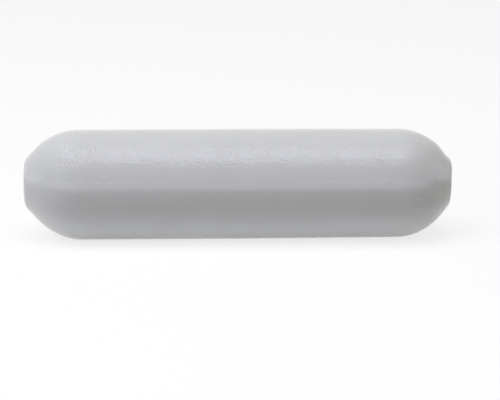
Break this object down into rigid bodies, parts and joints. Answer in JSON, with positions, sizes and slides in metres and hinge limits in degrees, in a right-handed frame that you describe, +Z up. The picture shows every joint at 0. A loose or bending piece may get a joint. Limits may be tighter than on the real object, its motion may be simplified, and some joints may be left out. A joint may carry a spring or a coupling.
{
  "type": "magnetic stir bar",
  "caption": "Smooth cylindrical stir bar: a rod magnet sealed in a white moulded PTFE jacket with tapered, rounded ends.",
  "frame": {"origin": "on the surface that the bar lies on, under the middle of its length", "axes": "+X along the bar's axis, +Z up; the two ends are alike"},
  "size_m": [0.0382, 0.0098, 0.0097],
  "materials": {
    "jacket_ptfe": "white moulded fluoropolymer, satin, waxy",
    "magnet_metal": "ground cast magnet alloy, hidden inside the jacket"
  },
  "bodies": {
    "root": {"ptfe_jacket": "jacket_ptfe", "magnet_rod": "magnet_metal"}
  },
  "joints": []
}
